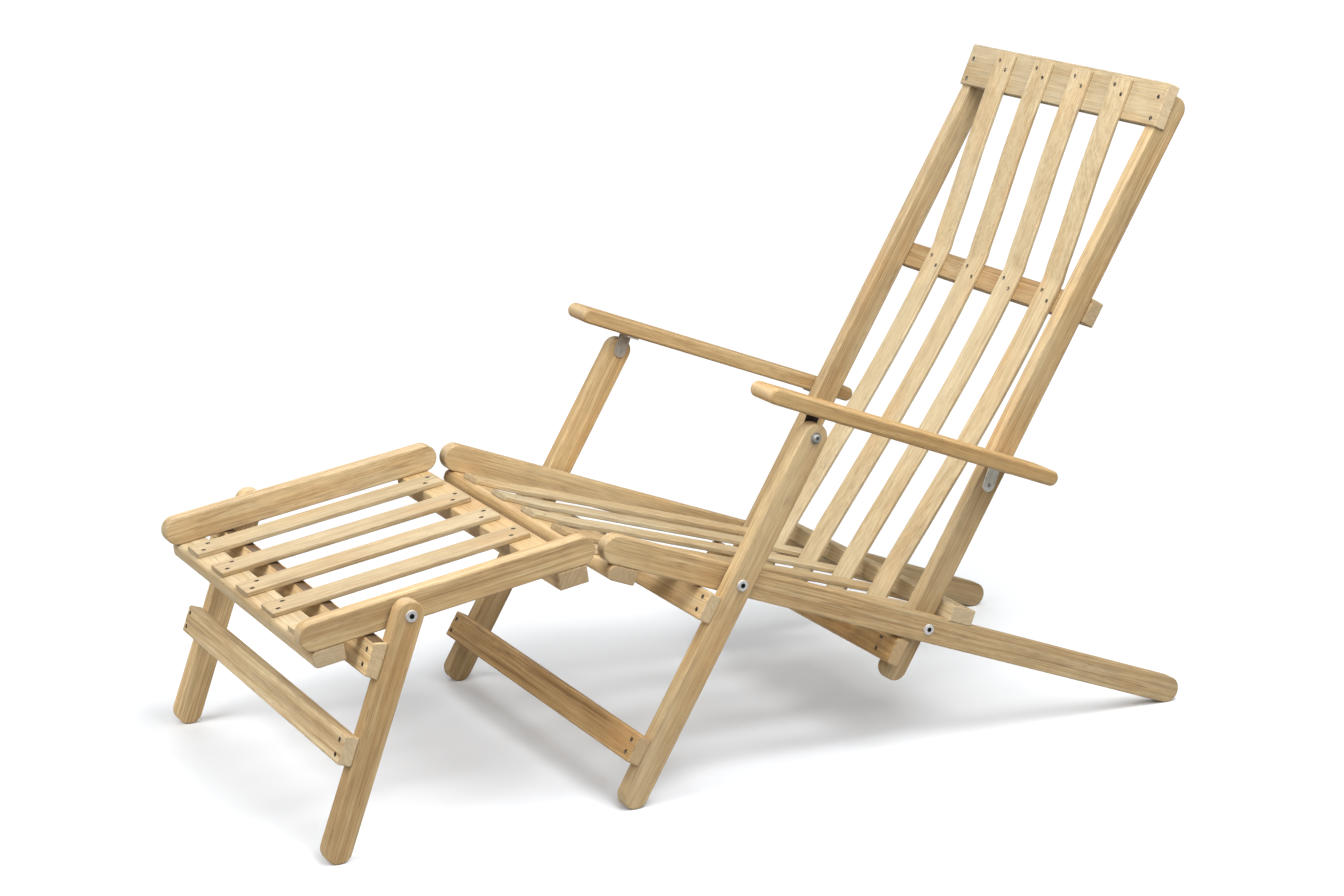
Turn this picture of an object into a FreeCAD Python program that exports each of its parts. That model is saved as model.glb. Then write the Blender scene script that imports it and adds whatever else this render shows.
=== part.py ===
"""Folding steamer deck chair: parametric construction of every wooden and metal piece.

World frame in mm: +X is the sitter's left, -Y the foot end, +Z up, floor at z = 0.
Each folding frame has its own local frame: local x is across the chair, local y runs
along the bar and local z stands square on it, turned about the world X axis.
"""
import FreeCAD, Part
import Sketcher
import math
import os

V = FreeCAD.Vector
Placement = FreeCAD.Placement
Rotation = FreeCAD.Rotation

doc = FreeCAD.newDocument("steamer_deck_chair")
sheet = doc.addObject("Spreadsheet::Sheet", "sizes")

# ---------------------------------------------------------------- sizes (mm, degrees)
SIZES = [
    # where the frames stand: pivot points in the side view, and their slopes
    ("leg_pivot_y", -79.26, "front leg pivot, along the chair"),
    ("leg_pivot_z", 298.82, "front leg pivot, height"),
    ("seat_slope", 19.99, "seat rails fall towards the back"),
    ("back_pivot_run", 347.7, "back pivot, measured along the seat rail"),
    ("foot_pivot_y", -567.26, "footrest leg pivot, along the chair"),
    ("foot_pivot_z", 324.03, "footrest leg pivot, height"),
    ("foot_slope", 9.64, "footrest rails rise towards the seat"),
    ("leg_slope", 60.56, "front legs"),
    ("back_slope", 60.56, "back stiles"),
    ("foot_leg_slope", 71.44, "footrest legs"),
    ("arm_bolt_run", 224.1, "arm bolt, measured up the leg from its pivot"),
    ("hinge_y", -284.33, "footrest hinge pin, along the chair"),
    ("hinge_z", 324.71, "footrest hinge pin, height"),
    # stock
    ("bar_round", 2.6, "rounding of bar edges"),
    ("cross_round", 2.2, "rounding of crossbar edges"),
    ("slat_round", 1.5, "rounding of slat edges"),
    ("arm_round", 4.0, "rounding of armrest edges"),
    # layers across the chair
    ("rail_in", 250.5, "inner face of the rails"),
    ("rail_wide", 22.0, "thickness of the rails"),
    ("leg_in", 280.0, "inner face of the legs"),
    ("leg_wide", 22.5, "thickness of the legs"),
    ("stile_in", 225.3, "inner face of the back stiles"),
    ("stile_wide", 21.6, "thickness of the back stiles"),
    ("arm_in", 251.1, "inner edge of the armrests"),
    ("arm_wide", 57.4, "width of the armrests"),
    # bars, as end circle centres from the pivot and half width
    ("rail_r", 20.0, "half width of the rails"),
    ("seat_rail_front", -187.2, "seat rail, front end"),
    ("seat_rail_back", 816.8, "seat rail, rear foot"),
    ("foot_rail_front", -122.8, "footrest rail, front end"),
    ("foot_rail_back", 263.2, "footrest rail, rear end"),
    ("leg_r", 19.25, "half width of legs and stiles"),
    ("front_leg_low", -321.02, "front leg, foot"),
    ("foot_leg_low", -321.50, "footrest leg, foot"),
    ("stile_low", -70.7, "back stile, lower end"),
    ("stile_high", 828.1, "back stile, top"),
    ("arm_r", 11.25, "half thickness of the armrest"),
    ("arm_lift", 38.9, "armrest centre above its bolt"),
    ("arm_front", -83.0, "armrest, front end"),
    ("arm_back", 406.4, "armrest, rear end"),
    # crossbars
    ("cross_half", 272.5, "half length of crossbars on the rails"),
    ("leg_cross_half", 302.5, "half length of crossbars on the legs"),
    ("back_cross_half", 249.9, "half length of crossbars on the back"),
    ("seat_rear_floor", 18.3, "floor of the housing for the rear crossbar"),
    ("back_top_run", 824.4, "top crossbar centre up the stile"),
    ("back_top_off", 17.3, "top crossbar centre in front of the stile line"),
    ("back_top_tilt", 7.5, "top crossbar leans forward"),
    # slats
    ("slat_wide", 45.0, "width of every slat"),
    ("seat_pitch", 98.3, "seat and footrest slat spacing"),
    ("back_half_pitch", 49.2, "first back slat from the middle"),
    # fasteners
    ("screw_head_r", 3.5, "countersunk head radius"),
    ("screw_head_deep", 2.4, "countersunk head depth"),
    ("screw_r", 1.8, "screw shank radius"),
    ("screw_short", 20.0, "screw length for slats"),
    ("screw_long", 37.0, "screw length for crossbars"),
    ("screw_socket", 1.25, "socket in the screw head"),
    ("pivot_r", 4.0, "pivot bolt shank radius"),
    ("pivot_head_r", 8.0, "pivot bolt head radius"),
    ("pivot_head", 2.8, "pivot bolt head height"),
    ("pivot_socket", 3.4, "socket in the pivot bolt head"),
    ("spacer_r", 9.0, "pivot spacer radius"),
    ("arm_bolt_r", 3.0, "arm bolt shank radius"),
    ("arm_bolt_head_r", 5.0, "arm bolt head radius"),
    ("arm_bolt_head", 4.6, "arm bolt head height"),
    ("arm_bolt_socket", 2.5, "socket in the arm bolt head"),
    ("washer_r", 8.0, "washer radius"),
    ("washer_deep", 1.2, "washer thickness"),
    ("turning_gap", 0.06, "running clearance on a bolt"),
    ("bracket_half", 9.8, "half width of a bracket"),
    ("plate", 2.5, "bracket and hinge plate thickness"),
    ("pin_r", 2.0, "hinge pin radius"),
    ("knuckle_r", 4.0, "hinge knuckle radius"),
]
S = {}
for i, (key, value, note) in enumerate(SIZES, 1):
    sheet.set("A%d" % i, key)
    sheet.set("B%d" % i, str(value))
    sheet.set("C%d" % i, note)
    sheet.setAlias("B%d" % i, key)
    S[key] = float(value)
doc.recompute()


def q(key):
    return "sizes." + key


def bind(obj, pairs):
    for prop, expr in pairs:
        obj.setExpression(prop, expr)


# ---------------------------------------------------------------- local frames
def rot(deg):
    return math.cos(math.radians(deg)), math.sin(math.radians(deg))


c, s = rot(-S["seat_slope"])
BACK = (S["leg_pivot_y"] + S["back_pivot_run"] * c, S["leg_pivot_z"] + S["back_pivot_run"] * s)
c, s = rot(S["leg_slope"])
ARM = (S["leg_pivot_y"] + S["arm_bolt_run"] * c, S["leg_pivot_z"] + S["arm_bolt_run"] * s)

# name: (y, z, slope, expressions for y, z and angle, axis sign)
FRAMES = {
    "seat": (S["leg_pivot_y"], S["leg_pivot_z"], S["seat_slope"], -1,
             (q("leg_pivot_y"), q("leg_pivot_z"), q("seat_slope"))),
    "leg": (S["leg_pivot_y"], S["leg_pivot_z"], S["leg_slope"], 1,
            (q("leg_pivot_y"), q("leg_pivot_z"), q("leg_slope"))),
    "back": (BACK[0], BACK[1], S["back_slope"], 1,
             (q("leg_pivot_y") + " + " + q("back_pivot_run") + " * cos(" + q("seat_slope") + " * 1 deg)",
              q("leg_pivot_z") + " - " + q("back_pivot_run") + " * sin(" + q("seat_slope") + " * 1 deg)",
              q("back_slope"))),
    "arm": (ARM[0], ARM[1], S["seat_slope"], -1,
            (q("leg_pivot_y") + " + " + q("arm_bolt_run") + " * cos(" + q("leg_slope") + " * 1 deg)",
             q("leg_pivot_z") + " + " + q("arm_bolt_run") + " * sin(" + q("leg_slope") + " * 1 deg)",
             q("seat_slope"))),
    "foot": (S["foot_pivot_y"], S["foot_pivot_z"], S["foot_slope"], 1,
             (q("foot_pivot_y"), q("foot_pivot_z"), q("foot_slope"))),
    "footleg": (S["foot_pivot_y"], S["foot_pivot_z"], S["foot_leg_slope"], 1,
                (q("foot_pivot_y"), q("foot_pivot_z"), q("foot_leg_slope"))),
}


def stand(obj, frame):
    y, z, ang, sign, ex = FRAMES[frame]
    obj.Placement = Placement(V(0, y, z), Rotation(V(sign, 0, 0), ang))
    bind(obj, [("Placement.Base.y", ex[0]), ("Placement.Base.z", ex[1]),
               ("Placement.Rotation.Angle", ex[2])])


def to_local(frame, y, z):
    fy, fz, ang, sign, ex = FRAMES[frame]
    c, s = rot(sign * ang)
    dy, dz = y - fy, z - fz
    return dy * c + dz * s, -dy * s + dz * c


# ---------------------------------------------------------------- sketch helpers
def new_body(name):
    return doc.addObject("PartDesign::Body", name)


def side_sketch(body, name, x, x_expr=None):
    """Sketch in the side view: sketch x is along the bar, sketch y stands on it."""
    sk = body.newObject("Sketcher::SketchObject", name)
    plane = [f for f in body.Origin.OriginFeatures if f.Role == "YZ_Plane"][0]
    sk.AttachmentSupport = [(plane, "")]
    sk.MapMode = "FlatFace"
    sk.AttachmentOffset = Placement(V(0, 0, x), Rotation())
    if x_expr:
        sk.setExpression("AttachmentOffset.Base.z", x_expr)
    return sk


def named(sk, cons, name, expr=None):
    i = sk.addConstraint(cons)
    sk.renameConstraint(i, name)
    if expr:
        sk.setExpression("Constraints." + name, expr)
    return i


def draw_slot(sk, u0, u1, r, off=0.0, ex=(None, None, None, None)):
    C = Sketcher.Constraint
    sk.addGeometry(Part.LineSegment(V(u0, off + r, 0), V(u1, off + r, 0)), False)
    sk.addGeometry(Part.ArcOfCircle(Part.Circle(V(u1, off, 0), V(0, 0, 1), r), -math.pi / 2, math.pi / 2), False)
    sk.addGeometry(Part.LineSegment(V(u1, off - r, 0), V(u0, off - r, 0)), False)
    sk.addGeometry(Part.ArcOfCircle(Part.Circle(V(u0, off, 0), V(0, 0, 1), r), math.pi / 2, 3 * math.pi / 2), False)
    sk.addConstraint([C("Tangent", 0, 2, 1, 2), C("Tangent", 1, 1, 2, 1),
                      C("Tangent", 2, 2, 3, 2), C("Tangent", 3, 1, 0, 1), C("Horizontal", 0)])
    named(sk, C("DistanceX", -1, 1, 3, 3, u0), "start", ex[0])
    named(sk, C("DistanceX", -1, 1, 1, 3, u1), "finish", ex[1])
    named(sk, C("Radius", 1, r), "half", ex[2])
    if abs(off) < 1e-9:
        sk.addConstraint(C("PointOnObject", 1, 3, -1))
    else:
        named(sk, C("DistanceY", -1, 1, 1, 3, off), "lift", ex[3])


def draw_rect(sk, u0, u1, v0, v1, ex=(None, None, None, None)):
    C = Sketcher.Constraint
    pts = [V(u0, v0, 0), V(u1, v0, 0), V(u1, v1, 0), V(u0, v1, 0)]
    for k in range(4):
        sk.addGeometry(Part.LineSegment(pts[k], pts[(k + 1) % 4]), False)
    sk.addConstraint([C("Coincident", k, 2, (k + 1) % 4, 1) for k in range(4)]
                     + [C("Horizontal", 0), C("Horizontal", 2), C("Vertical", 1), C("Vertical", 3)])
    named(sk, C("DistanceX", -1, 1, 0, 1, u0), "left", ex[0])
    named(sk, C("DistanceX", -1, 1, 1, 1, u1), "right", ex[1])
    named(sk, C("DistanceY", -1, 1, 0, 1, v0), "low", ex[2])
    named(sk, C("DistanceY", -1, 1, 2, 1, v1), "high", ex[3])


def draw_poly(sk, pts):
    C = Sketcher.Constraint
    n = len(pts)
    for k in range(n):
        a, b = pts[k], pts[(k + 1) % n]
        sk.addGeometry(Part.LineSegment(V(a[0], a[1], 0), V(b[0], b[1], 0)), False)
    sk.addConstraint([C("Coincident", k, 2, (k + 1) % n, 1) for k in range(n)])
    for k in range(n):
        sk.addConstraint(C("DistanceX", -1, 1, k, 1, pts[k][0]))
        sk.addConstraint(C("DistanceY", -1, 1, k, 1, pts[k][1]))


def pad(body, sk, length, expr=None):
    p = body.newObject("PartDesign::Pad", body.Name + "_pad")
    p.Profile = sk
    p.Length = length
    if expr:
        p.setExpression("Length", expr)
    doc.recompute()
    return p


def pocket(body, sk, length, expr=None):
    """Cut into the solid; the side that holds material is found by volume."""
    before = body.Shape.Volume
    p = body.newObject("PartDesign::Pocket", body.Name + "_pocket")
    p.Profile = sk
    p.Length = length
    if expr:
        p.setExpression("Length", expr)
    doc.recompute()
    if p.Shape.isNull() or body.Shape.Volume > before - 1e-3:
        p.Reversed = True
        doc.recompute()
    return p


def round_edges(body, base, pick, radius, expr):
    names = ["Edge%d" % (i + 1) for i, e in enumerate(base.Shape.Edges) if pick(e)]
    f = body.newObject("PartDesign::Fillet", body.Name + "_round")
    f.Base = (base, names)
    f.Radius = radius
    if expr:
        f.setExpression("Radius", expr)
    doc.recompute()
    return f


def on_x(x0, x1):
    def pick(e):
        b = e.BoundBox
        return b.XLength < 1e-4 and (abs(b.XMin - x0) < 1e-3 or abs(b.XMin - x1) < 1e-3)
    return pick


# ---------------------------------------------------------------- screws
def screw_master(name, key):
    """Countersunk screw hanging from its head's top face at the origin, and its hole."""
    head = doc.addObject("Part::Cone", name + "_head")
    head.Placement = Placement(V(0, 0, 0), Rotation(V(1, 0, 0), 180))
    head.Radius1, head.Radius2, head.Height = S["screw_head_r"], S["screw_r"], S["screw_head_deep"]
    bind(head, [("Radius1", q("screw_head_r")), ("Radius2", q("screw_r")), ("Height", q("screw_head_deep"))])
    shank = doc.addObject("Part::Cylinder", name + "_shank")
    shank.Placement = Placement(V(0, 0, 0), Rotation(V(1, 0, 0), 180))
    shank.Radius, shank.Height = S["screw_r"], S[key]
    bind(shank, [("Radius", q("screw_r")), ("Height", q(key))])
    whole = doc.addObject("Part::Fuse", name + "_whole")
    whole.Base, whole.Tool = head, shank
    socket = doc.addObject("Part::Prism", name + "_socket")
    socket.Polygon, socket.Circumradius, socket.Height = 6, S["screw_socket"], 3.0
    socket.Placement = Placement(V(0, 0, -1.3), Rotation())
    socket.setExpression("Circumradius", q("screw_socket"))
    screw = doc.addObject("Part::Cut", name)
    screw.Base, screw.Tool = whole, socket
    mouth = doc.addObject("Part::Cylinder", name + "_mouth")
    mouth.Radius, mouth.Height = S["screw_head_r"], 2.0
    mouth.setExpression("Radius", q("screw_head_r"))
    hole = doc.addObject("Part::Fuse", name + "_hole")
    hole.Base, hole.Tool = whole, mouth
    doc.recompute()
    return screw, hole


SHORT = screw_master("slat_screw", "screw_short")
LONG = screw_master("bar_screw", "screw_long")
SINK = 1.2          # heads sit this far below the wood
PLATE_SINK = 0.3    # and this far below a metal plate


def screws(name, master, places, sink=SINK):
    """places: (x, along, face level, +1 when driven downwards / -1 upwards, tilt)"""
    solids, holes = [], []
    for x, u, v, way, tilt in places:
        turn = Rotation(V(1, 0, 0), tilt)
        if way < 0:
            turn = turn.multiply(Rotation(V(1, 0, 0), 180))
        pos = V(x, u, v) - turn.multVec(V(0, 0, sink))
        pl = Placement(pos, turn)
        for src, out in ((master[0], solids), (master[1], holes)):
            sh = src.Shape.copy()
            sh.Placement = pl
            out.append(sh)
    a = doc.addObject("Part::Feature", name)
    a.Shape = Part.makeCompound(solids)
    b = doc.addObject("Part::Feature", name + "_holes")
    b.Shape = Part.makeCompound(holes)
    return a, b


# ---------------------------------------------------------------- finishing
NODES = []


def compound(name, links):
    cpd = doc.addObject("Part::Compound", name)
    cpd.Links = links
    return cpd


def finish(label, base, tools, frame):
    """Take the fastener holes out of a piece, name it and stand it in its frame."""
    if tools:
        tool = tools[0] if len(tools) == 1 else compound(label + "_tools", tools)
        out = doc.addObject("Part::Cut", label + "_piece")
        out.Base, out.Tool = base, tool
    else:
        out = base
    doc.recompute()
    out.Label = label
    stand(out, frame)
    NODES.append(out)
    return out


def group(label, members, frame):
    out = compound(label + "_group", members)
    out.Label = label
    stand(out, frame)
    NODES.append(out)
    return out


# ---------------------------------------------------------------- piece makers
def bar(name, side, x_in, x_wide, u0, u1, r, holes=(), cuts=(), off=0.0, rnd="bar_round", ekeys=(None,) * 3, lift=None):
    """Flat bar with half-round ends, standing on edge in the side view."""
    b = new_body(name)
    x0 = S[x_in] if side > 0 else -S[x_in] - S[x_wide]
    ex = q(x_in) if side > 0 else "-" + q(x_in) + " - " + q(x_wide)
    sk = side_sketch(b, name + "_outline", x0, ex)
    draw_slot(sk, u0, u1, r, off, tuple(q(k) if k else None for k in ekeys) + (q(lift) if lift else None,))
    p = pad(b, sk, S[x_wide], q(x_wide))
    last = round_edges(b, p, on_x(x0, x0 + S[x_wide]), S[rnd], q(rnd))
    outer = S[x_in] + S[x_wide]
    for k, (u, v, rad, rexpr, deep, face) in enumerate(holes):
        fx = {"out": outer, "in": S[x_in]}[face] * side
        h = side_sketch(b, "%s_bore%d" % (name, k), fx)
        C = Sketcher.Constraint
        h.addGeometry(Part.Circle(V(u, v, 0), V(0, 0, 1), rad), False)
        named(h, C("Radius", 0, rad), "bore", rexpr)
        h.addConstraint(C("DistanceX", -1, 1, 0, 3, u))
        if abs(v) < 1e-9:
            h.addConstraint(C("PointOnObject", 0, 3, -1))
        else:
            h.addConstraint(C("DistanceY", -1, 1, 0, 3, v))
        pocket(b, h, deep)
    for k, pts in enumerate(cuts):
        h = side_sketch(b, "%s_cut%d" % (name, k), outer * side)
        draw_poly(h, pts)
        pocket(b, h, S[x_wide] + 1)
    return b


def crossbar(name, half_key, u0, u1, v0, v1, nose=None, place=None, vexpr=None, flare=None):
    """Square-edged bar across the chair; nose picks edges with a large rounding, flare widens the v0 face."""
    b = new_body(name)
    x = S[half_key]
    sk = side_sketch(b, name + "_section", -x, "-" + q(half_key))
    if flare:
        draw_poly(sk, [(u0 - flare[0], v0), (u1 + flare[1], v0), (u1, v1), (u0, v1)])
    else:
        draw_rect(sk, u0, u1, v0, v1, (None, None, q(vexpr) if vexpr else None, None))
    p = pad(b, sk, 2 * x, "2 * " + q(half_key))
    last = p
    if nose:
        nr, test = nose
        last = round_edges(b, p, lambda e: e.BoundBox.XLength > x and test(e.CenterOfMass.y, e.CenterOfMass.z),
                           nr, None)
        last = round_edges(b, last, lambda e: (e.BoundBox.XLength > x and e.BoundBox.YLength < 1e-4
                                               and e.BoundBox.ZLength < 1e-4
                                               and not any(f.Surface.TypeId == "Part::GeomCylinder"
                                                           for f in last.Shape.ancestorsOfType(e, Part.Face)))
                           or on_x(-x, x)(e), S["cross_round"], q("cross_round"))
    else:
        last = round_edges(b, p, lambda e: True, S["cross_round"], q("cross_round"))
    if place:
        b.Placement = place
    return b


def spline(pts, t0, t1):
    c = Part.BSplineCurve()
    c.interpolate([V(u, v, 0) for u, v in pts], False, 1e-6, V(t0[0], t0[1], 0).normalize(),
                  V(t1[0], t1[1], 0).normalize())
    return c


def slat(name, x, curve_parts, thick, closing, wide="slat_wide"):
    """Slat with a side profile made of straight lands and smooth runs, swept across its width."""
    b = new_body(name)
    w = S[wide]
    sk = side_sketch(b, name + "_profile", x - w / 2, "%r - %s / 2" % (x, q(wide)))
    geo = []
    for kind, data in curve_parts:
        geo.append(data)
    for g in geo:
        sk.addGeometry(g, False)
    p = pad(b, sk, w, q(wide))
    round_edges(b, p, lambda e: on_x(x - w / 2, x + w / 2)(e), S["slat_round"], q("slat_round"))
    return b


def profile(points_front, lands, thick, ends):
    """Closed slat outline: the face through the given points, its twin one thickness behind."""
    out = []
    for shift in (0.0, -thick):
        for seg in points_front:
            if seg[0] == "line":
                (a0, v0), (a1, v1) = seg[1]
                out.append(("line", Part.LineSegment(V(a0, v0 + shift, 0), V(a1, v1 + shift, 0))))
            else:
                pts = [(a, v + shift) for a, v in seg[1]]
                out.append(("spline", spline(pts, seg[2], seg[3])))
    (ua, va), (ub, vb) = ends
    out.append(("line", Part.LineSegment(V(ua, va, 0), V(ua, va - thick, 0))))
    out.append(("line", Part.LineSegment(V(ub, vb, 0), V(ub, vb - thick, 0))))
    return out


def rod(name, x0, x1, u, v, r, expr=None):
    o = doc.addObject("Part::Cylinder", name)
    o.Radius, o.Height = r, abs(x1 - x0)
    if expr:
        o.setExpression("Radius", expr)
    o.Placement = Placement(V(min(x0, x1), u, v), Rotation(V(0, 1, 0), 90))
    return o


def box(name, x0, x1, u0, u1, v0, v1):
    o = doc.addObject("Part::Box", name)
    o.Length, o.Width, o.Height = abs(x1 - x0), u1 - u0, v1 - v0
    o.Placement = Placement(V(min(x0, x1), u0, v0), Rotation())
    return o


def fuse(name, parts):
    o = doc.addObject("Part::MultiFuse", name)
    o.Shapes = parts
    return o


def cut(name, base, tool):
    o = doc.addObject("Part::Cut", name)
    o.Base, o.Tool = base, tool
    return o


def socket_bolt(name, side, face, shank_to, u, v, r, r_expr, head_r, head_h, sock, head_expr, h_expr, s_expr,
                way=1):
    """Bolt with a barrel head and a hexagon socket. way +1: the head is on the outer side."""
    f, t = face * side, shank_to * side
    hx = (face + way * head_h) * side
    shank = rod(name + "_shank", t, f, u, v, r, r_expr)
    head = rod(name + "_head", f, hx, u, v, head_r, head_expr)
    doc.recompute()
    # the rim of the head is rounded
    rim = doc.addObject("Part::Fillet", name + "_rim")
    rim.Base = head
    edges = [(i + 1, 0.9, 0.9) for i, e in enumerate(head.Shape.Edges)
             if e.BoundBox.XLength < 1e-6 and abs(e.BoundBox.XMin - hx) < 1e-6]
    rim.Edges = edges
    whole = doc.addObject("Part::Fuse", name + "_whole")
    whole.Base, whole.Tool = rim, shank
    hexa = doc.addObject("Part::Prism", name + "_hexagon")
    hexa.Polygon, hexa.Circumradius, hexa.Height = 6, sock, 6.0
    hexa.setExpression("Circumradius", s_expr)
    deep = min(3.0, head_h - 1.2)
    sign = 1 if hx > f else -1
    start = hx - sign * deep
    hexa.Placement = Placement(V(start if sign > 0 else start, u, v), Rotation(V(0, 1, 0), 90 * sign))
    return cut(name, whole, hexa)


RUN = q("pivot_r") + " + " + q("turning_gap")
RUNA = q("arm_bolt_r") + " + " + q("turning_gap")
r_run = S["pivot_r"] + S["turning_gap"]
ra_run = S["arm_bolt_r"] + S["turning_gap"]
rail_out = S["rail_in"] + S["rail_wide"]
leg_out = S["leg_in"] + S["leg_wide"]
stile_out = S["stile_in"] + S["stile_wide"]
SIDES = (("left", 1), ("right", -1))
FACE_GAP = 0.1      # between turning faces
SLAT_X = [k * S["seat_pitch"] for k in (-2, -1, 0, 1, 2)]
BACK_X = [k * S["back_half_pitch"] for k in (-3, -1, 1, 3)]
rail_x = S["rail_in"] + S["rail_wide"] / 2
leg_x = S["leg_in"] + S["leg_wide"] / 2
stile_x = S["stile_in"] + S["stile_wide"] / 2

# ================================================================ seat frame
SEAT_FRONT = (-188.7, -145.0, -41.8, -20.0)
SEAT_REAR = (378.5, 419.5, S["seat_rear_floor"], 42.4)
run = S["back_pivot_run"]

seat_bar_screws = screws("seat_bar_screws", LONG, [
    (sx * rail_x, u, SEAT_FRONT[2], -1, 0) for sx in (1, -1) for u in (-177.5, -158.0)] + [
    (sx * rail_x, u, SEAT_REAR[3], 1, 0) for sx in (1, -1) for u in (389.5, 408.5)])
seat_slat_screws = [screws("seat_slat%d_screws" % (i + 1), SHORT, [
    (x + 10.5, -161.5, -13.0, 1, 0), (x - 10.5, -175.5, -13.0, 1, 0),
    (x + 10.5, 406.0, S["seat_rear_floor"] - 7.0, -1, 0), (x - 10.5, 393.0, S["seat_rear_floor"] - 7.0, -1, 0)])
    for i, x in enumerate(SLAT_X)]

for tag, side in SIDES:
    # ground line in the rail's frame, so the rear foot stands flat on the floor
    c, s = rot(-S["seat_slope"])

    def ground(u):
        return (-S["leg_pivot_z"] - u * s) / c
    b = bar("seat_rail_bar_" + tag, side, "rail_in", "rail_wide", S["seat_rail_front"], S["seat_rail_back"], S["rail_r"],
            holes=[(0.0, 0.0, S["pivot_r"], q("pivot_r"), 18.0, "out"),
                   (run, 0.0, S["pivot_r"], q("pivot_r"), S["rail_wide"] + 1, "out")],
            cuts=[[(745.0, ground(745.0)), (875.0, ground(875.0)), (875.0, -70.0), (745.0, -70.0)],
                  [(SEAT_REAR[0], S["seat_rear_floor"]), (SEAT_REAR[1], S["seat_rear_floor"]),
                   (SEAT_REAR[1], 30.0), (SEAT_REAR[0], 30.0)]],
            ekeys=("seat_rail_front", "seat_rail_back", "rail_r"))
    finish("seat_rail_" + tag, b, [seat_bar_screws[1]], "seat")

b = crossbar("seat_front_bar", "cross_half", *SEAT_FRONT, nose=(9.0, lambda u, v: u < -180))
finish("seat_front_crossbar", b, [seat_bar_screws[1]] + [g[1] for g in seat_slat_screws], "seat")
b = crossbar("seat_rear_bar", "cross_half", *SEAT_REAR, vexpr="seat_rear_floor")
finish("seat_rear_crossbar", b, [seat_bar_screws[1]] + [g[1] for g in seat_slat_screws], "seat")

SEAT_TOP = [("line", ((-184.5, -13.0), (-145.5, -13.0))),
            ("spline", [(-145.5, -13.0), (-68.5, -8.5), (51.5, -0.9), (121.5, 3.6), (196.5, 8.4), (270.5, 13.2),
                        (331.5, 16.6), (378.5, 18.3)], (1, 0), (1, 0)),
            ("line", ((378.5, 18.3), (419.0, 18.3)))]
for i, x in enumerate(SLAT_X):
    parts = profile(SEAT_TOP, None, 7.0, ((-184.5, -13.0), (419.0, 18.3)))
    b = slat("seat_slat%d" % (i + 1), x, parts, 7.0, None)
    finish("seat_slat_%d" % (i + 1), b, [seat_slat_screws[i][1]], "seat")
group("seat_screws", [seat_bar_screws[0]] + [g[0] for g in seat_slat_screws], "seat")

# pivot bolts of the front legs and of the back, with their spacers
leg_bolts, back_bolts, spacers = [], [], []
for tag, side in SIDES:
    leg_bolts.append(socket_bolt("leg_bolt_" + tag, side, leg_out + FACE_GAP, rail_out - 18.0, 0.0, 0.0,
                                 S["pivot_r"], q("pivot_r"), S["pivot_head_r"], S["pivot_head"], S["pivot_socket"],
                                 q("pivot_head_r"), None, q("pivot_socket")))
    back_bolts.append(socket_bolt("back_bolt_" + tag, side, rail_out, S["stile_in"] + 3.0, run, 0.0,
                                  S["pivot_r"], q("pivot_r"), S["pivot_head_r"], 2.8, S["pivot_socket"],
                                  q("pivot_head_r"), None, q("pivot_socket")))
    for nm, u, xa, xb in (("leg", 0.0, rail_out, S["leg_in"] - FACE_GAP),
                          ("back", run, S["rail_in"], stile_out + FACE_GAP)):
        ring = rod("%s_spacer_%s_disc" % (nm, tag), xa * side, xb * side, u, 0.0, S["spacer_r"], q("spacer_r"))
        bore = rod("%s_spacer_%s_bore" % (nm, tag), (xa - 20) * side, (xb + 20) * side, u, 0.0,
                   S["pivot_r"], q("pivot_r"))
        spacers.append(cut("%s_spacer_%s" % (nm, tag), ring, bore))
group("leg_pivot_bolts", leg_bolts, "seat")
group("back_pivot_bolts", back_bolts, "seat")
group("seat_pivot_spacers", spacers, "seat")

# ================================================================ front legs
LEG_UP = (-67.6, -27.6, S["leg_r"], 39.25)
LEG_LOW = (-283.0, -243.0, S["leg_r"], 39.25)
# the crossbar screws of the legs sit a little off the middle of the leg, all shifted the same way
LEG_SCREW_X = (leg_x - 4.2, -(leg_x + 0.8))
leg_screws = screws("front_leg_bar_screws", LONG, [
    (x, u, 39.25, 1, 0) for x in LEG_SCREW_X for u in (-37.5, -56.5, -254.0, -272.5)])
for tag, side in SIDES:
    b = bar("front_leg_bar_" + tag, side, "leg_in", "leg_wide", S["front_leg_low"], S["arm_bolt_run"], S["leg_r"],
            holes=[(0.0, 0.0, r_run, RUN, S["leg_wide"] + 1, "out"),
                   (S["arm_bolt_run"], 0.0, ra_run, RUNA, S["leg_wide"] + 1, "out")],
            ekeys=("front_leg_low", "arm_bolt_run", "leg_r"))
    finish("front_leg_" + tag, b, [leg_screws[1]], "leg")
b = crossbar("front_leg_up", "leg_cross_half", *LEG_UP, vexpr="leg_r")
finish("front_leg_upper_crossbar", b, [leg_screws[1]], "leg")
b = crossbar("front_leg_low_bar", "leg_cross_half", *LEG_LOW, vexpr="leg_r")
finish("front_leg_lower_crossbar", b, [leg_screws[1]], "leg")
group("front_leg_screws", [leg_screws[0]], "leg")

# ================================================================ back
TOP_TILT = S["back_top_tilt"]
tc, ts = rot(TOP_TILT)
TOP = (S["back_top_run"], S["back_top_off"])


def top_pt(du, dv):
    """Point in the stile frame of a place in the leaning top crossbar."""
    return TOP[0] + du * tc - dv * ts, TOP[1] + du * ts + dv * tc


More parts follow.
